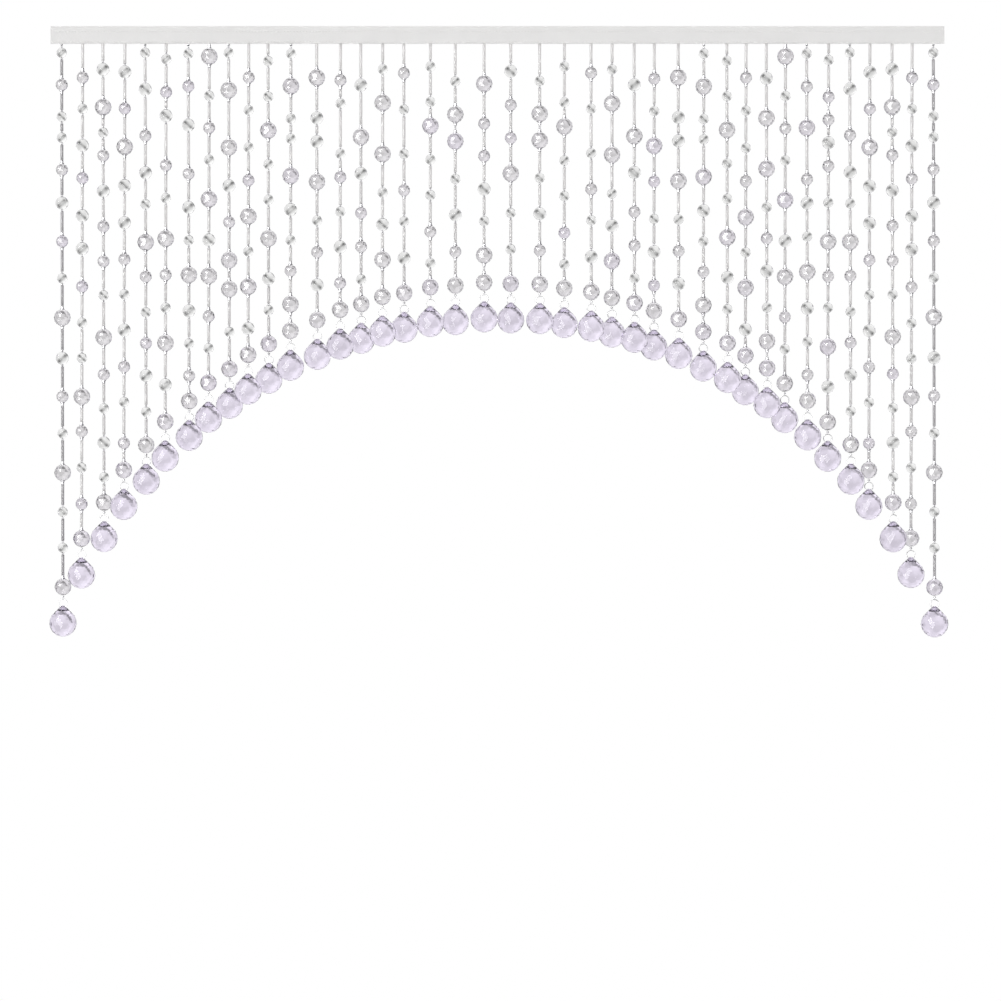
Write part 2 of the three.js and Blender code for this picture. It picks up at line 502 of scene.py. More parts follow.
def clear_line(name):
    """The clear line that carries the beads."""
    material, tree, shader = new_material(name, IOR=1.45, Transmission_Weight=0.7)
    haze = place_group(tree, handling_haze(), Scale=900.0, Low=0.15, High=0.3)["Mask"]
    pale, dim = (0.93, 0.93, 0.94), (0.84, 0.84, 0.85)
    fill(tree, shader, Base_Color=mixed(tree, haze, pale, dim), Roughness=haze)
    return material


def woven_tape(name, shade):
    """White woven tape with its yarns in the bump and a little shade in the gaps."""
    material, tree, shader = new_material(name, Roughness=0.85, Sheen_Weight=0.25)
    weave = place_group(tree, fine_tape_weave())
    wear = place_group(tree, handling_haze(), Scale=35.0, Low=0.0, High=0.35)["Mask"]
    yarns = mixed(tree, weave["Gaps"], shade, darker(shade, 0.72))
    soiled = mixed(tree, wear, yarns, darker(shade, 0.93))
    relief = bumped(tree, weave["Height"], strength=0.5, distance=0.25 * MM)
    fill(tree, shader, Base_Color=soiled, Normal=relief)
    return material


def twisted_thread(name, shade):
    """Sewing thread: fine slanting ridges, with painted shade between them."""
    material, tree, shader = new_material(name, Roughness=0.7)
    twist = place_group(tree, fine_tape_weave(), Yarns_per_metre=3500.0)
    # darker where the mask shows gaps: painted shade between the ridges
    ridges_with_painted_shade = mixed(tree, twist["Gaps"], shade, darker(shade, 0.8))
    relief = bumped(tree, twist["Height"], strength=0.4, distance=0.1 * MM)
    fill(tree, shader, Base_Color=ridges_with_painted_shade, Normal=relief)
    return material


# ---- Meshes ----

# A template is a small mesh to be copied: its verts, its faces, each face's material number
# in slots, and whether it is smooth.


def new_piece(mesh, materials):
    """A piece of the curtain that rides on its body, under its mesh's name."""
    piece = bpy.data.objects.new(mesh.name, mesh)
    bpy.context.scene.collection.objects.link(piece)
    for material in materials:
        mesh.materials.append(material)
    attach(piece, BODY)
    return piece


def lathe(profile, sides, closed=False):
    """A turned template round the Z axis. profile: (radius, height) pairs. closed joins its ends."""
    verts, faces = [], []
    for radius, height in profile:
        for j in range(sides):
            angle = math.tau * j / sides
            verts.append((radius * math.cos(angle), radius * math.sin(angle), height))
    rows = len(profile)
    for i in range(rows if closed else rows - 1):
        below, above = i * sides, (i + 1) % rows * sides
        for j in range(sides):
            k = (j + 1) % sides
            faces.append((below + j, below + k, above + k, above + j))
    if not closed:
        faces.append(tuple(reversed(range(sides))))
        faces.append(tuple(range((rows - 1) * sides, rows * sides)))
    return {"verts": np.array(verts), "faces": faces, "smooth": True, "slots": [0] * len(faces)}


def hoop(major, minor, steps, sides):
    """A wire ring template in the XZ plane, about the origin."""
    profile = []
    for i in range(sides):
        angle = math.tau * i / sides
        profile.append((major + minor * math.cos(angle), minor * math.sin(angle)))
    template = lathe(profile, steps, closed=True)
    x, y, z = template["verts"].T
    template["verts"] = np.stack([x, -z, y], axis=1)
    return template


def stamp(name, stamps, materials):
    """One joined mesh of templates. stamps: pairs of a template and its 4x4 place. Each point
    keeps its place in its own template, in radii, and each copy gets a tint number."""
    copies, slots, smooth, own, tints = [], [], [], [], []
    rng = random.Random(name)
    for template, place in stamps:
        matrix = np.array(place)
        verts = template["verts"]
        copies.append({**template, "verts": verts @ matrix[:3, :3].T + matrix[:3, 3]})
        own.append(verts / np.abs(verts[:, 0]).max())
        tints.append(np.full(len(verts), rng.random()))
        slots += template["slots"]
        smooth += [template["smooth"]] * len(template["faces"])
    mesh = mesh_of(name, *copies)
    mesh.polygons.foreach_set("material_index", slots)
    mesh.polygons.foreach_set("use_smooth", smooth)
    point = mesh.attributes.new(BEAD_POINT, "FLOAT_VECTOR", "POINT")
    point.data.foreach_set("vector", np.concatenate(own).ravel())
    tint = mesh.attributes.new(BEAD_TINT, "FLOAT", "POINT")
    tint.data.foreach_set("value", np.concatenate(tints))
    mesh.update()
    return new_piece(mesh, materials)


def template_of(mesh):
    """A flat-faced template from a Blender mesh."""
    flat = np.empty(3 * len(mesh.vertices))
    mesh.vertices.foreach_get("co", flat)
    return {
        "verts": flat.reshape(-1, 3),
        "faces": [tuple(polygon.vertices) for polygon in mesh.polygons],
        "slots": [polygon.material_index for polygon in mesh.polygons],
        "smooth": False,
    }


def mesh_of(name, *templates):
    """A Blender mesh of one or more templates."""
    faces, start = [], 0
    for template in templates:
        faces += [tuple(start + v for v in face) for face in template["faces"]]
        start += len(template["verts"])
    mesh = bpy.data.meshes.new(name)
    verts = np.concatenate([template["verts"] for template in templates])
    mesh.from_pydata(verts.tolist(), [], faces)
    return mesh


def hull(points, name):
    """The flat-faced solid round a set of points, its coplanar triangles joined."""
    mesh = bpy.data.meshes.new(name)
    work = bmesh.new()
    for point in points:
        work.verts.new(point)
    made = bmesh.ops.convex_hull(work, input=work.verts)
    inside = [v for v in made["geom_interior"] if isinstance(v, bmesh.types.BMVert)]
    bmesh.ops.delete(work, geom=inside, context="VERTS")
    bmesh.ops.dissolve_limit(work, angle_limit=math.radians(0.5), verts=work.verts, edges=work.edges)
    bmesh.ops.recalc_face_normals(work, faces=work.faces)
    work.to_mesh(mesh)
    work.free()
    return mesh


def drilled(mesh, cutter, name):
    """mesh with cutter taken out. Faces that the cutter leaves get material 1."""
    body = bpy.data.objects.new(name, mesh)
    tool = bpy.data.objects.new(f"{name}_drill", cutter)
    for obj in (body, tool):
        bpy.context.scene.collection.objects.link(obj)
    for data in (mesh, cutter):
        data.materials.append(None)
        data.materials.append(None)
    cutter.polygons.foreach_set("material_index", [1] * len(cutter.polygons))
    cut = body.modifiers.new("drill", "BOOLEAN")
    cut.object = tool
    cut.operation = "DIFFERENCE"
    cut.solver = "EXACT"
    graph = bpy.context.evaluated_depsgraph_get()
    template = template_of(body.evaluated_get(graph).to_mesh())
    for obj in (body, tool):
        bpy.data.objects.remove(obj)
    return template


def facet_points(rows, radius):
    """Corners of a cut bead or ball. rows: (latitude in degrees, corners, turn in steps)."""
    points = []
    for latitude, count, turn in rows:
        lat = math.radians(latitude)
        for i in range(count):
            angle = math.tau * (i + turn) / count
            flat = radius * math.cos(lat)
            points.append((flat * math.cos(angle), flat * math.sin(angle), radius * math.sin(lat)))
    return points


def facet_rows(latitudes, count):
    """Rows of corners, each turned half a step against the one before."""
    return [(latitude, count, 0.5 * (i % 2)) for i, latitude in enumerate(latitudes)]


# ---- Templates of the small pieces ----

BEAD_CUTS = {
    "large": facet_rows((-75, -50, -25, 0, 25, 50, 75), 12),
    "medium": facet_rows((-72, -44, -15, 15, 44, 72), 10),
    "silvered": facet_rows((-70, -45, -15, 15, 45, 70), 10),
    "small": facet_rows((-68, -42, -14, 14, 42, 68), 8),
}
BORE_DEPTH = 1.4 * MM  # of a hole's mouth
DRILL_TOP = 1.2  # height of the drill over a bead's middle, in radii of the bead
MOUTH_FLARE = 1.9  # width of the drill there, in radii of its bore
LINE_ROOM = 1.6  # bore of seeds and caps, in radii of the line
TUBE_ROOM = 1.3  # bore of tubes, in radii of the line
ROUND_KINDS = ("large", "medium")


def seat(kind):
    """Half a bead's height where its hole comes out."""
    return BEAD_KINDS[kind]["radius"] * math.sin(math.radians(BEAD_CUTS[kind][-1][0]))


def bead_template(kind):
    """A bead cut in flat facets, with the two mouths of its hole. Between them the polished hole
    is as clear as the glass round it, and is left solid."""
    sizes = bpy.context.scene.curtain_sizes
    radius = BEAD_KINDS[kind]["radius"]
    solid = hull(facet_points(BEAD_CUTS[kind], radius), kind)
    bore, end = sizes.bore_radius, seat(kind)
    wide = (MOUTH_FLARE * bore, DRILL_TOP * radius)
    mouth = lathe([(bore, end - BORE_DEPTH), (bore, end), wide], sides=10)
    lower = {**mouth, "verts": mouth["verts"] * np.array([1, -1, -1])}
    return drilled(solid, mesh_of(f"{kind}_bore", mouth, lower), kind)


def seed_template():
    """A small rounded spacer with a hole, one seed high."""
    sizes = bpy.context.scene.curtain_sizes
    r, h, bore = sizes.seed_radius, sizes.seed_height, sizes.line_radius * LINE_ROOM
    profile = [(bore, -0.38 * h), (0.72 * r, -0.5 * h), (r, -0.22 * h), (r, 0.22 * h)]
    profile += [(0.72 * r, 0.5 * h), (bore, 0.38 * h)]
    return lathe(profile, sides=10, closed=True)


def tube_template():
    """A drawn glass tube of unit height from the origin up, open along its bore."""
    sizes = bpy.context.scene.curtain_sizes
    r, bore = sizes.tube_radius, TUBE_ROOM * sizes.line_radius
    profile = [(bore, 0), (0.86 * r, 0), (r, 0.012), (r, 0.988), (0.86 * r, 1), (bore, 1)]
    return lathe(profile, sides=12, closed=True)


def cap_template():
    """A silver cap of unit length, wide at the origin, where it sits on a bead."""
    sizes = bpy.context.scene.curtain_sizes
    wide, bore = sizes.cap_radius, sizes.line_radius * LINE_ROOM
    profile = [(bore, 0), (wide, -0.06), (wide, 0.16), (0.78 * wide, 0.24), (0.62 * wide, 0.6)]
    profile += [(0.72 * wide, 0.72), (0.66 * wide, 1.0), (bore, 1.0)]
    return lathe(profile, sides=12, closed=True)


# ---- Stringing ----

BEAD_GAP = 0.25 * MM
SHORTEST_TUBE = 6 * MM


def links(hanger):
    """The stretches between beads: (upper height, lower height, kind above, kind below)."""
    height, kind = hanger.beads[0]
    spans = [(TAPE_FOOT, height + seat(kind), None, kind)]
    for (high, above), (low, below) in zip(hanger.beads, hanger.beads[1:]):
        spans.append((high - seat(above), low + seat(below), above, below))
    return spans


def stretches(hanger, foot):
    """Where the line shows: (lower height, upper height) of each stretch, into the beads' holes."""
    found = []
    for top, low, above, _ in links(hanger):
        found.append((low - BORE_DEPTH, top + BORE_DEPTH if above else hanger.root))
    height, kind = hanger.beads[-1]
    found.append((foot, height - seat(kind) + BORE_DEPTH))
    return found


def placed(hanger, height, turn=0.0, stretch=1.0, flip=False):
    """A place on a string's axis, with a turn about it and a stretch along it."""
    spin = Matrix.Rotation(turn, 4, "Z")
    over = Matrix.Rotation(math.pi, 4, "X") if flip else Matrix.Identity(4)
    scale = Matrix.Diagonal((1, 1, stretch, 1))
    return Matrix.Translation(hanger.at(height)) @ hanger.tilt() @ spin @ over @ scale


def lay_link(span, kit, rng):
    """Caps on the round beads, seeds on the others, and a tube or more seeds between."""
    sizes = bpy.context.scene.curtain_sizes
    top, low, above, below = span
    seed = sizes.seed_height
    if above in ROUND_KINDS:
        kit["caps"].append((top, sizes.cap_length, True))
        top -= sizes.cap_length + BEAD_GAP
    elif above:
        kit["seeds"].append(top - seed / 2 - BEAD_GAP)
        top -= seed + 2 * BEAD_GAP
    if below in ROUND_KINDS:
        kit["caps"].append((low, sizes.cap_length, False))
        low += sizes.cap_length + BEAD_GAP
    else:
        kit["seeds"].append(low + seed / 2 + BEAD_GAP)
        low += seed + 2 * BEAD_GAP
    if top - low >= SHORTEST_TUBE:
        kit["tubes"].append((low, top - low, rng.random() * math.tau))
        return
    fit = max(0, int((top - low) / seed))
    for i in range(fit):
        kit["seeds"].append(low + (top - low) * (i + 0.5) / fit)


def string_kit(hanger, rng):
    """Heights of the caps, seeds and tubes of one string."""
    kit = {"caps": [], "seeds": [], "tubes": []}
    for span in links(hanger):
        lay_link(span, kit, rng)
    return kit


def panels():
    """Each panel of strings: its number, its hangers and its random source."""
    for i in range(len(PANELS)):
        hangers = HANGERS[i * BALLS_PER_PANEL : (i + 1) * BALLS_PER_PANEL]
        yield i + 1, hangers, random.Random(SEED + i)


# ---- Balls and rings ----

BALL_WAIST = math.radians(10)  # latitude of the solids' widest corners
LOWEST_LATITUDE = -80  # in degrees, of a ball's lowest row of corners
BALL_LATITUDES = (-61, -42, -23, -4, 15, 34)  # of the rows from there to the shoulders
BALL_CORNERS = 16  # round a row
END_CORNERS = 8  # round the lowest row and the tip
BALL_LOW, BALL_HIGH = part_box(BALLS[0])
BALL_RADIUS = (BALL_HIGH.x - BALL_LOW.x) / 2 / math.cos(BALL_WAIST)
BALL_TIP_RISE = BALL_HIGH.z - BALL_LOW.z - BALL_RADIUS
HOLE_DEPTH = 1.5 * MM  # from a ball's tip down to the wire in its hole
GROUND_TIP = 3.2 * MM  # of a ball's tip, left ground where it is drilled
GROUND_EDGE = 0.3 * MM  # by which a ground face may start lower
NECK_PROUD = 0.3 * MM  # by which the ground tip's lower edge stands out of the shoulders
HOLE_ROOM = 0.2 * MM  # by which the hole is wider than the wire
HANG_GAP = 0.05 * MM  # between the wire and the glass that hangs on it


def ball_middle(ball):
    low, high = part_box(ball)
    return Vector(((low.x + high.x) / 2, (low.y + high.y) / 2, high.z - BALL_TIP_RISE))


def hole_rise():
    """From a ball's middle up to the middle of the wire that carries it."""
    sizes = bpy.context.scene.curtain_sizes
    return BALL_TIP_RISE - HOLE_DEPTH - sizes.wire_radius


def ring_centre(hanger):
    """Height of a ring's centre: the ball's hole hangs on the ring's lowest wire."""
    sizes = bpy.context.scene.curtain_sizes
    return ball_middle(hanger.ball).z + hole_rise() + sizes.ring_radius


def ball_template():
    """A cut ball with straight shoulders, a flat tip and a hole that follows its ring."""
    sizes = bpy.context.scene.curtain_sizes
    shoulder = 90 - math.degrees(math.acos(BALL_RADIUS / BALL_TIP_RISE))
    rows = facet_rows((*BALL_LATITUDES, shoulder), BALL_CORNERS)
    rows.insert(0, (LOWEST_LATITUDE, END_CORNERS, 0))
    points = facet_points(rows, BALL_RADIUS)
    neck = BALL_TIP_RISE - GROUND_TIP
    shoulder_reach = BALL_RADIUS * math.cos(math.radians(shoulder))
    shoulder_rise = BALL_RADIUS * math.sin(math.radians(shoulder))
    down = GROUND_TIP / (BALL_TIP_RISE - shoulder_rise)
    neck_reach = sizes.tip_radius + (shoulder_reach - sizes.tip_radius) * down + NECK_PROUD
    tip = (sizes.tip_radius, BALL_TIP_RISE, END_CORNERS)
    for reach, height, count in (tip, (neck_reach, neck, BALL_CORNERS)):
        for i in range(count):
            angle = math.tau * (i + 0.5) / count
            points.append((reach * math.cos(angle), reach * math.sin(angle), height))
    drill = hoop(sizes.ring_radius, sizes.wire_radius + HOLE_ROOM, steps=40, sides=12)
    rise = hole_rise() + sizes.ring_radius - HOLE_ROOM + HANG_GAP
    drill["verts"] = drill["verts"] + np.array([0, 0, rise])
    template = drilled(hull(points, "ball"), mesh_of("ball_drill", drill), "ball")
    for i, face in enumerate(template["faces"]):
        if template["verts"][list(face), 2].min() > neck - GROUND_EDGE:
            template["slots"][i] = 1
    return template


# ---- Operators ----

BEAD_SWING = 0.1  # radians by which beads and rings turn about their string, either way
CUT_BEAD_SWING = 0.12
TURNED = (0.35, 0.7)  # shares, left and right, of the cut beads that show their other side
BALL_SWING = 0.16
EYE_RADIUS = 2.6  # of the eye at a line's end, in radii of the line
EYE_THICKNESS = 0.8


def string_beads(name, kinds, finishes, turn):
    """Strings the beads of some kinds. turn(hanger, random source) gives each bead's turn."""
    templates = {kind: bead_template(kind) for kind in kinds}
    for number, hangers, rng in panels():
        stamps = []
        for hanger in hangers:
            for height, kind in hanger.beads:
                if kind in templates:
                    place = placed(hanger, height, turn(hanger, rng))
                    stamps.append((templates[kind], place))
        stamp(f"{name}_{number}", stamps, finishes)


class CURTAIN_OT_cut_beads(bpy.types.Operator):
    """Strings the large and medium round beads of clear cut glass"""

    bl_idname = "curtain.cut_beads"
    bl_label = "Cut beads"

    def execute(self, context):
        colours = context.scene.curtain_colours
        finishes = [
            cut_glass("clear_cut_glass", colours.clear, colours.tinted, ior=1.5),
            ground_glass("bead_bore", colours.clear),
        ]

        def turn(hanger, rng):
            return rng.uniform(-BEAD_SWING, BEAD_SWING)

        string_beads("round_beads", ROUND_KINDS, finishes, turn)
        return {"FINISHED"}


class CURTAIN_OT_silvered_beads(bpy.types.Operator):
    """Strings the silvered faceted beads, with a slanting band of painted dark reflection"""

    bl_idname = "curtain.silvered_beads"
    bl_label = "Silvered beads"

    def execute(self, context):
        colours = context.scene.curtain_colours
        kinds = [kind for kind in BEAD_KINDS if kind not in ROUND_KINDS]
        finishes = [
            # the first finish paints a dark reflection into the glass as a slanting band
            banded_glass("glass_with_painted_reflection", colours.silvered, colours.band),
            ground_glass("cut_bead_bore", colours.silvered),
        ]

        def turn(hanger, rng):
            turned = rng.random() < TURNED[hanger.across > 0]
            return rng.uniform(-CUT_BEAD_SWING, CUT_BEAD_SWING) + (math.pi if turned else 0.0)

        string_beads("silvered_beads", kinds, finishes, turn)
        return {"FINISHED"}


class CURTAIN_OT_tubes(bpy.types.Operator):
    """Threads the glass tubes, spacer seeds and silver caps between the beads"""

    bl_idname = "curtain.tubes"
    bl_label = "Tubes, seeds and caps"

    def execute(self, context):
        colours = context.scene.curtain_colours
        tube, seed, cap = tube_template(), seed_template(), cap_template()
        end_tube = {**tube, "slots": [1] * len(tube["faces"])}
        ends = (HANGERS[0], HANGERS[-1])
        drawn_glass = [
            tube_glass("drawn_tube_glass", colours.tube),
            tube_glass("end_tube_glass", colours.end_tube),
        ]
        seed_glass = [cut_glass("seed_glass", colours.silvered, roughness=0.05)]
        silver = [polished_metal("cap_silver", colours.cap, low=0.4, high=0.55)]
        for number, hangers, rng in panels():
            tubes, seeds, caps = [], [], []
            for hanger in hangers:
                kit = string_kit(hanger, rng)
                drawn = end_tube if hanger in ends else tube
                for low, high, turn in kit["tubes"]:
                    tubes.append((drawn, placed(hanger, low, turn, high)))
                for height in kit["seeds"]:
                    seeds.append((seed, placed(hanger, height)))
                for height, high, flip in kit["caps"]:
                    caps.append((cap, placed(hanger, height, 0.0, high, flip)))
            stamp(f"tubes_{number}", tubes, drawn_glass)
            stamp(f"seeds_{number}", seeds, seed_glass)
            stamp(f"caps_{number}", caps, silver)
        return {"FINISHED"}


class CURTAIN_OT_lines(bpy.types.Operator):
    """Runs the clear line from the tape through each string to its ring, with a knot and a crimp"""

    bl_idname = "curtain.lines"
    bl_label = "Lines and crimps"

    def execute(self, context):
        sizes = context.scene.curtain_sizes
        colours = context.scene.curtain_colours
        line = lathe([(sizes.line_radius, 0), (sizes.line_radius, 1)], sides=6)
        knot = seed_template()
        eye_rise = EYE_RADIUS * sizes.line_radius
        eye = hoop(eye_rise, EYE_THICKNESS * sizes.line_radius, steps=12, sides=6)
        side = Matrix.Rotation(math.pi / 2, 4, "Z")
        finishes = [clear_line("clear_line")]
        silver = [polished_metal("crimp_silver", colours.cap, low=0.4, high=0.55)]
        for number, hangers, _ in panels():
            threads, crimps = [], []
            for hanger in hangers:
                ring_top = ring_centre(hanger) + sizes.ring_radius
                foot = ring_top + 2 * eye_rise
                for low, high in stretches(hanger, foot):
                    threads.append((line, placed(hanger, low, 0.0, high - low)))
                eye_place = Matrix.Translation(hanger.at(ring_top + eye_rise)) @ side
                threads.append((eye, eye_place))
                crimps.append((knot, placed(hanger, foot + sizes.seed_height / 2)))
                crimps.append((knot, placed(hanger, TAPE_FOOT - sizes.seed_height / 2)))
            piece = stamp(f"line_{number}", threads, finishes)
            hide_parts(PANELS[number - 1])
            stamp(f"crimps_{number}", crimps, silver)
        return {"FINISHED"}


class CURTAIN_OT_balls(bpy.types.Operator):
    """Hangs the lilac cut crystal balls"""

    bl_idname = "curtain.balls"
    bl_label = "Crystal balls"

    def execute(self, context):
        colours = context.scene.curtain_colours
        template = ball_template()
        finishes = [
            cut_glass("lilac_crystal", colours.lilac, ior=1.3, roughness=0.03),
            ground_glass("ball_hole", darker(colours.lilac, 0.92), clarity=0.9),
        ]
        rng = random.Random(SEED)
        for ball in BALLS:
            turn = Matrix.Rotation(rng.uniform(-BALL_SWING, BALL_SWING), 4, "Z")
            place = Matrix.Translation(ball_middle(ball)) @ turn
            piece = stamp(f"crystal_{ball}", [(template, place)], finishes)
            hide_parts(ball)
        return {"FINISHED"}


class CURTAIN_OT_rings(bpy.types.Operator):
    """Passes a wire ring through each ball's hole"""

    bl_idname = "curtain.rings"
    bl_label = "Wire rings"

    def execute(self, context):
        sizes = context.scene.curtain_sizes
        colours = context.scene.curtain_colours
        ring = hoop(sizes.ring_radius, sizes.wire_radius, steps=40, sides=10)
        finishes = [polished_metal("ring_wire", colours.ring, low=0.3, high=0.45)]
        for number, hangers, rng in panels():
            stamps = []
            for hanger in hangers:
                middle = ball_middle(hanger.ball)
                middle.z = ring_centre(hanger)
                turn = Matrix.Rotation(rng.uniform(-BEAD_SWING, BEAD_SWING), 4, "Z")
                stamps.append((ring, Matrix.Translation(middle) @ turn))
            stamp(f"rings_{number}", stamps, finishes)
        return {"FINISHED"}


# ---- Heading tape ----

TAPE_STEPS = 200
SELVEDGE = 0.55  # share of the tape's thickness that is flat at its edges
STITCH_ROWS = (2.2 * MM, 13.0 * MM)  # above the tape's lower edge
THREAD_RADIUS = 0.3 * MM


class CURTAIN_OT_heading_tape(bpy.types.Operator):
    """Weaves the heading tape and sews its two rows of stitches"""

    bl_idname = "curtain.heading_tape"
    bl_label = "Heading tape"

    def execute(self, context):
        colours = context.scene.curtain_colours
        tape = self.weave([woven_tape("woven_tape", colours.tape)])
        stitches = self.sew([twisted_thread("tape_thread", colours.tape)])
        return {"FINISHED"}

    def weave(self, finishes):
        """A thin band with rounded selvedges."""
        low, high = TAPE_FOOT, TAPE_HIGH.z
        half = TAPE_THICKNESS / 2
        inner = half * SELVEDGE
        section = [(-inner, low), (-half, low + half), (-half, high - half), (-inner, high)]
        section += [(inner, high), (half, high - half), (half, low + half), (inner, low)]
        verts, faces = [], []
        for i in range(TAPE_STEPS + 1):
            x = TAPE_LOW.x + TAPE_LENGTH * i / TAPE_STEPS
            for y, z in section:
                verts.append((x, y, z))
        count = len(section)
        for i in range(TAPE_STEPS):
            for j in range(count):
                k = (j + 1) % count
                a, b = i * count, (i + 1) * count
                faces.append((a + j, b + j, b + k, a + k))
        faces.append(tuple(range(count)))
        faces.append(tuple(reversed(range(TAPE_STEPS * count, (TAPE_STEPS + 1) * count))))
        mesh = bpy.data.meshes.new("heading_tape_woven")
        mesh.from_pydata(verts, [], faces)
        piece = new_piece(mesh, finishes)
        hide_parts("heading_tape")
        return piece

    def sew(self, finishes):
        """Rows of short stitches on both faces of the tape."""
        sizes = bpy.context.scene.curtain_sizes
        pitch = sizes.stitch_length + sizes.stitch_gap
        count = int((TAPE_LENGTH - 2 * pitch) / pitch)
        thin, half = 0.2 * THREAD_RADIUS, sizes.stitch_length / 2
        shoulders = [(THREAD_RADIUS, -0.7 * half), (THREAD_RADIUS, 0.7 * half)]
        stitch = lathe([(thin, -half), *shoulders, (thin, half)], sides=6)
        lie = Matrix.Rotation(math.pi / 2, 4, "Y")
        stamps = []
        for row in STITCH_ROWS:
            for side in (-1, 1):
                for i in range(count):
                    x = (i - (count - 1) / 2) * pitch
                    y = side * (TAPE_THICKNESS / 2)
                    place = Matrix.Translation((x, y, TAPE_FOOT + row))
                    stamps.append((stitch, place @ lie))
        return stamp("tape_stitches", stamps, finishes)


# ---- Stage ----

FLOOR_RADIUS = 6.0
FLOOR_THICKNESS = 0.02
KEY_SIZE = 1.2  # side of the soft light, in metres
KEY_PLACE = (-1.4, -2.2, 0.7)
KEY_TARGET = (0, 0, -0.35)
PLAIN_WHITE = (1, 1, 1)
STUDIO_WALL = (0.97, 0.97, 0.97)
FLAG_DARK = (0.46, 0.42, 0.53)
# The walls' colour by how far off the side they stand, from 0 at the side to 1 straight ahead
# or straight behind.
STUDIO_FLAGS = (
    (0.06, (0.85, 0.84, 0.87)),
    (0.14, FLAG_DARK),
    (0.34, FLAG_DARK),
    (0.5, (0.9, 0.89, 0.92)),
    (0.66, STUDIO_WALL),
)
SIDE_SHADE = -0.16  # of the walls, between one side and the other
LOW_GLOW = 0.35  # of the lowest walls, over the flags
GLOW_RAMP = (-4.0, -2.0)  # slope and start: from a height's sine of -0.5 to all at -0.75
CLOUD_SCALE = 2.2
CLOUDS = (0.36, 0.64)  # thinnest and thickest
CLOUD_LIGHT = (0.74, 1.06)  # of the walls under them
WINDOW_TURN = -math.radians(34)  # from straight ahead, to the left
WINDOW_HALF_WIDTH = 0.42  # sine of the angle
WINDOW_MIDDLE = 0.1  # sine of the height
WINDOW_HALF_HEIGHT = 0.62
WINDOW_EDGE = 0.05  # width of its soft edge
WINDOW_LIGHT = 10.0
ARC_AHEAD = math.cos(math.radians(28))  # middle of a dark arc, as a cosine from straight ahead
ARC_REACH = 0.06  # half its width, as that cosine
ARC_EDGE = 0.04  # width of its soft edge
ARC_SHADE = 0.34  # light left in it
ARC_ASIDE = -0.85  # how much a place aside counts beside a low one
ARC_PART = (5.0, -1.5)  # slope and start of the part of the ring that is dark


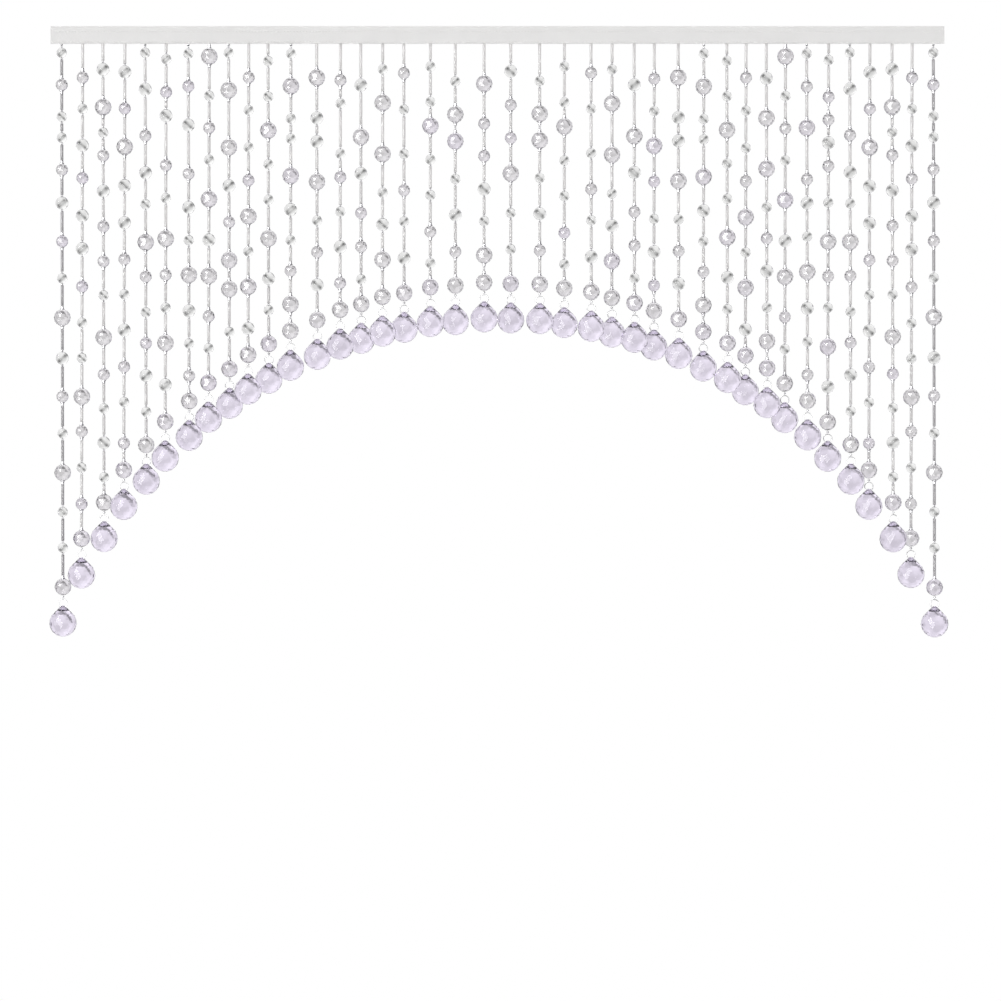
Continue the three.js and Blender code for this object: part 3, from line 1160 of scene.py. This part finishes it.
class CURTAIN_OT_stage(bpy.types.Operator):
    """Sets the camera, the pale floor, the soft light and the studio surroundings"""

    bl_idname = "curtain.stage"
    bl_label = "Stage"

    def execute(self, context):
        stage = context.scene.curtain_stage
        self.aim_camera(context.scene, stage)
        self.lay_floor(context.scene, stage)
        self.hang_lights(context.scene, stage)
        self.surround(context.scene)
        context.scene.view_settings.view_transform = "Standard"
        return {"FINISHED"}

    def aim_camera(self, scene, stage):
        camera = bpy.data.objects.new("camera", bpy.data.cameras.new("camera"))
        scene.collection.objects.link(camera)
        camera.location = (stage.middle_x, -stage.distance, -stage.middle_drop)
        camera.rotation_euler = (math.pi / 2, 0, 0)
        camera.data.lens = camera.data.sensor_width * stage.distance / stage.picture_width
        scene.camera = camera

    def lay_floor(self, scene, stage):
        colours = scene.curtain_colours
        top = -stage.floor_drop
        disc = lathe([(FLOOR_RADIUS, top - FLOOR_THICKNESS), (FLOOR_RADIUS, top)], sides=96)
        floor = bpy.data.objects.new("floor", mesh_of("floor", disc))
        scene.collection.objects.link(floor)
        material, tree, shader = new_material("pale_floor", Roughness=0.6)
        mottle = place_group(tree, handling_haze(), Scale=3.0)["Mask"]
        fill(tree, shader, Base_Color=mixed(tree, mottle, colours.floor, darker(colours.floor, 0.97)))
        floor.data.materials.append(material)
        floor.visible_glossy = False
        floor.visible_transmission = False

    def hang_lights(self, scene, stage):
        light = bpy.data.objects.new("key", bpy.data.lights.new("key", "AREA"))
        light.data.size = KEY_SIZE
        light.data.energy = stage.key
        light.location = KEY_PLACE
        aim = Vector(KEY_TARGET) - light.location
        light.rotation_euler = aim.to_track_quat("-Z", "Y").to_euler()
        light.visible_camera = False
        light.visible_transmission = False
        scene.collection.objects.link(light)

    def surround(self, scene):
        """What shines or is clear sees a pale studio with grey flags off its front and back, which
        outline the glass, and mirrors a tall window at the front left. The rest of the light, and
        the background, is plain white."""
        world = bpy.data.worlds.new("studio")
        world.use_nodes = True
        tree = world.node_tree
        point = tree.nodes.new("ShaderNodeTexCoord").outputs["Generated"]
        x, y, z = axes(tree, point)
        shade = maths(tree, "MULTIPLY", self.patches(tree, point, x, y), self.arc(tree, x, y, z))
        walls = vectors(tree, "SCALE", self.flags(tree, y), scale=shade)
        low = maths(tree, "MULTIPLY_ADD", z, *GLOW_RAMP, clamp=True)
        rays = tree.nodes.new("ShaderNodeLightPath").outputs
        glossy, through = rays["Is Glossy Ray"], rays["Is Transmission Ray"]
        mirrored = maths(tree, "SUBTRACT", glossy, through, clamp=True)
        window = maths(tree, "MULTIPLY", mirrored, self.window(tree, point, z))
        glow = maths(tree, "MULTIPLY_ADD", low, LOW_GLOW, window)
        studio = vectors(tree, "ADD", walls, glow)
        seen = mixed(tree, maths(tree, "MAXIMUM", glossy, through), PLAIN_WHITE, studio)
        fill(tree, tree.nodes["Background"], Color=seen)
        scene.world = world

    def flags(self, tree, y):
        """Colour of the walls, and of the flags that stand well off the front and back."""
        ramp = tree.nodes.new("ShaderNodeValToRGB")
        fill(tree, ramp, Fac=maths(tree, "ABSOLUTE", y))
        ends = ramp.color_ramp.elements
        for end, at in zip(ends, (0.0, 1.0)):
            end.position, end.color = at, (*STUDIO_WALL, 1)
        for at, shade in STUDIO_FLAGS:
            ends.new(at).color = (*shade, 1)
        return ramp.outputs["Color"]

    def patches(self, tree, point, x, y):
        """Light and shade over the walls: cloudy patches, and one side dimmer than the other."""
        clouds = noise(tree, point, CLOUD_SCALE, detail=1.0)
        side = maths(tree, "MULTIPLY_ADD", maths(tree, "MULTIPLY", x, y), SIDE_SHADE, 1.0)
        return maths(tree, "MULTIPLY", spread(tree, clouds, CLOUDS, CLOUD_LIGHT), side)

    def arc(self, tree, x, y, z):
        """Shade of a dark arc low at one side of straight ahead and straight behind. It shows in
        the glass as a dark curve at the upper right."""
        off = maths(tree, "ABSOLUTE", maths(tree, "SUBTRACT", maths(tree, "ABSOLUTE", y), ARC_AHEAD))
        ring = maths(tree, "DIVIDE", maths(tree, "SUBTRACT", ARC_REACH, off), ARC_EDGE, clamp=True)
        aside = maths(tree, "MULTIPLY", maths(tree, "MULTIPLY", x, y), ARC_ASIDE)
        part = maths(tree, "MULTIPLY_ADD", maths(tree, "SUBTRACT", aside, z), *ARC_PART, clamp=True)
        return maths(tree, "MULTIPLY_ADD", maths(tree, "MULTIPLY", ring, part), ARC_SHADE - 1.0, 1.0)

    def window(self, tree, point, height):
        """Light of a tall window, by direction."""
        sine, cosine = math.sin(WINDOW_TURN), math.cos(WINDOW_TURN)
        across = vectors(tree, "DOT_PRODUCT", point, (cosine, sine, 0))
        ahead = vectors(tree, "DOT_PRODUCT", point, (sine, -cosine, 0))
        inside = maths(tree, "SUBTRACT", WINDOW_HALF_WIDTH, maths(tree, "ABSOLUTE", across))
        upright = maths(tree, "ABSOLUTE", maths(tree, "SUBTRACT", height, WINDOW_MIDDLE))
        between = maths(tree, "SUBTRACT", WINDOW_HALF_HEIGHT, upright)
        shape = maths(tree, "MINIMUM", maths(tree, "MINIMUM", inside, between), ahead)
        mask = maths(tree, "DIVIDE", shape, WINDOW_EDGE, clamp=True)
        return maths(tree, "MULTIPLY", mask, WINDOW_LIGHT)


# ---- Panel and registering ----

OPERATORS = (
    CURTAIN_OT_stage,
    CURTAIN_OT_heading_tape,
    CURTAIN_OT_lines,
    CURTAIN_OT_cut_beads,
    CURTAIN_OT_silvered_beads,
    CURTAIN_OT_tubes,
    CURTAIN_OT_rings,
    CURTAIN_OT_balls,
)


class CURTAIN_PT_sidebar(bpy.types.Panel):
    """Lists the curtain's pieces and sizes"""

    bl_idname = "CURTAIN_PT_sidebar"
    bl_label = "Bead curtain"
    bl_space_type = "VIEW_3D"
    bl_region_type = "UI"
    bl_category = "Bead curtain"

    def draw(self, context):
        for operator in OPERATORS:
            self.layout.operator(operator.bl_idname)
        for group in ("curtain_sizes", "curtain_colours", "curtain_stage"):
            values = getattr(context.scene, group)
            for name in values.__annotations__:
                self.layout.prop(values, name)


GROUPS = {
    "curtain_sizes": CurtainSizes,
    "curtain_colours": CurtainColours,
    "curtain_stage": CurtainStage,
}


def register():
    for item in (*GROUPS.values(), *OPERATORS, CURTAIN_PT_sidebar):
        bpy.utils.register_class(item)
    for name, group in GROUPS.items():
        setattr(bpy.types.Scene, name, bpy.props.PointerProperty(type=group))


def unregister():
    for name in GROUPS:
        delattr(bpy.types.Scene, name)
    for item in (CURTAIN_PT_sidebar, *reversed(OPERATORS), *GROUPS.values()):
        bpy.utils.unregister_class(item)


def main():
    register()
    bpy.ops.curtain.stage()
    bpy.ops.curtain.heading_tape()
    bpy.ops.curtain.lines()
    bpy.ops.curtain.cut_beads()
    bpy.ops.curtain.silvered_beads()
    bpy.ops.curtain.tubes()
    bpy.ops.curtain.rings()
    bpy.ops.curtain.balls()


if __name__ == "__main__":
    main()
